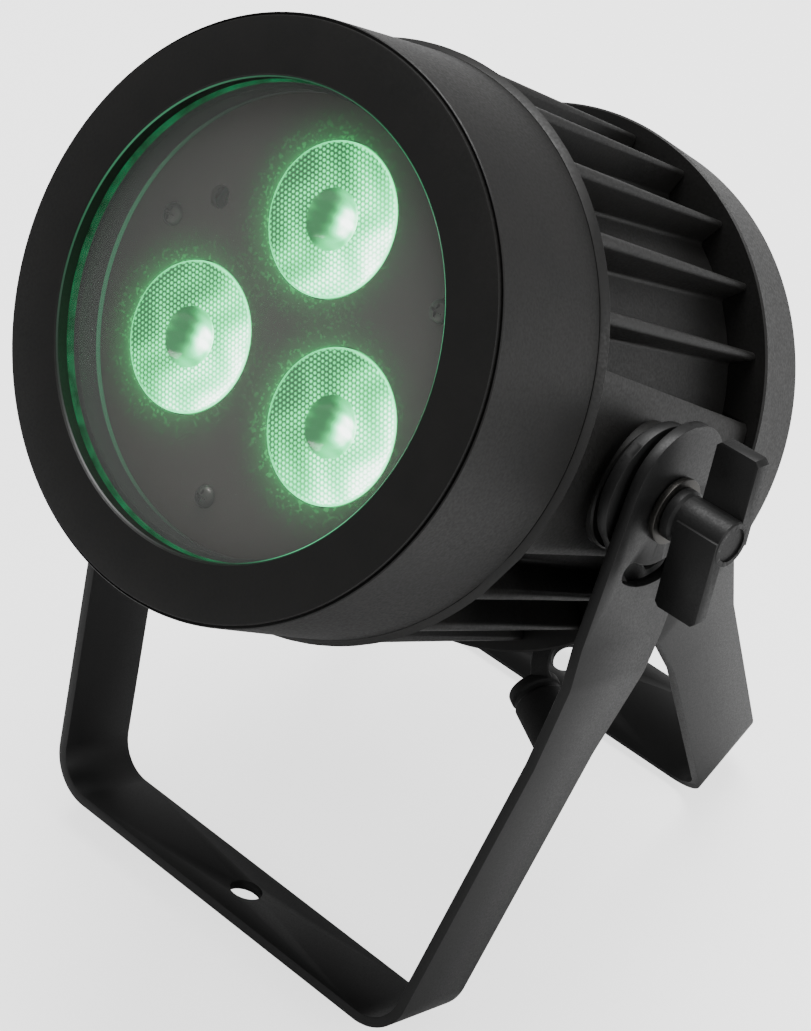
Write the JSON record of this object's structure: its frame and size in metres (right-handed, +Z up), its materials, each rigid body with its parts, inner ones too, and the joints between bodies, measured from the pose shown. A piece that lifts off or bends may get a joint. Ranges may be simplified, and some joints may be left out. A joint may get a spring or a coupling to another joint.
{
  "type": "par can light",
  "caption": "Round LED par light with lenses behind a front glass, a finned heatsink body, and two hinged U-shaped brackets clamped by wing knobs.",
  "frame": {"origin": "middle of the footprint, on the floor", "axes": "-Y is the way the light faces, +Z up, X along the pivot"},
  "size_m": [0.2146, 0.2072, 0.2668],
  "materials": {
    "paint": "cast aluminium under black powder coat, fine texture, semi-matt",
    "bracket": "black powder coat, smooth satin",
    "inner": "matt black moulded plastic",
    "plate": "dark grey matt coated sheet",
    "plastic": "black glass-filled nylon, fine spark texture",
    "rubber": "matt black moulded rubber",
    "steel": "zinc plated",
    "board": "solder mask over a printed board",
    "glass": "clear toughened glass",
    "lens": "clear acrylic lens lit green, dimpled face",
    "led": "silicone dome over a green LED"
  },
  "bodies": {
    "front_bracket": {"front_bracket": "bracket"},
    "rear_bracket": {"rear_bracket": "bracket"},
    "head": {"front_housing": "paint", "glass_gasket": "rubber", "front_glass": "glass", "glass_retainer": "inner", "housing_seal": "rubber", "lens_plate": "plate", "led_board": "board", "recessed_screw": "steel", "heatsink_housing": "paint", "rear_cap": "paint", "rear_seal": "rubber", "power_socket": "plastic", "data_socket": "plastic", "data_socket_cap": "rubber", "vent_plug": "plastic", "driver_board": "board", "driver_transformer": "inner", "driver_capacitor": "inner", "socket_plug": "rubber", "plug_tether": "rubber", "lens_1": "lens", "lens_holder_1": "inner", "led_1": "led", "plate_screw_1": "steel", "plate_standoff_1": "steel", "driver_post_1": "steel", "lens_2": "lens", "lens_holder_2": "inner", "led_2": "led", "plate_screw_2": "steel", "plate_standoff_2": "steel", "driver_post_2": "steel", "lens_3": "lens", "lens_holder_3": "inner", "led_3": "led", "plate_screw_3": "steel", "plate_standoff_3": "steel", "driver_post_3": "steel", "cap_screw_1": "steel", "cap_screw_2": "steel", "cap_screw_3": "steel", "cap_screw_4": "steel", "clamp_stud_right": "steel", "friction_washer_right": "rubber", "spacer_washer_right": "steel", "knob_washer_right": "steel", "clamp_stud_left": "steel", "friction_washer_left": "rubber", "spacer_washer_left": "steel", "knob_washer_left": "steel"},
    "wing_knob_right": {"wing_knob_right": "plastic"},
    "wing_knob_left": {"wing_knob_left": "plastic"}
  },
  "joints": [
    {"name": "head_tilt", "type": "hinge", "parent": "front_bracket", "child": "head", "pos_m": [0, 0.00117, 0.1622], "axis": [1, 0, 0], "range_deg": [-143, 126]},
    {"name": "rear_bracket_fold", "type": "hinge", "parent": "front_bracket", "child": "rear_bracket", "pos_m": [0, 0.00117, 0.1622], "axis": [1, 0, 0], "range_deg": [-30, 130]},
    {"name": "knob_turn_right", "type": "hinge", "parent": "head", "child": "wing_knob_right", "pos_m": [0.1, 0.00117, 0.1622], "axis": [1, 0, 0], "continuous": true},
    {"name": "knob_turn_left", "type": "hinge", "parent": "head", "child": "wing_knob_left", "pos_m": [-0.1, 0.00117, 0.1622], "axis": [-1, 0, 0], "continuous": true}
  ]
}
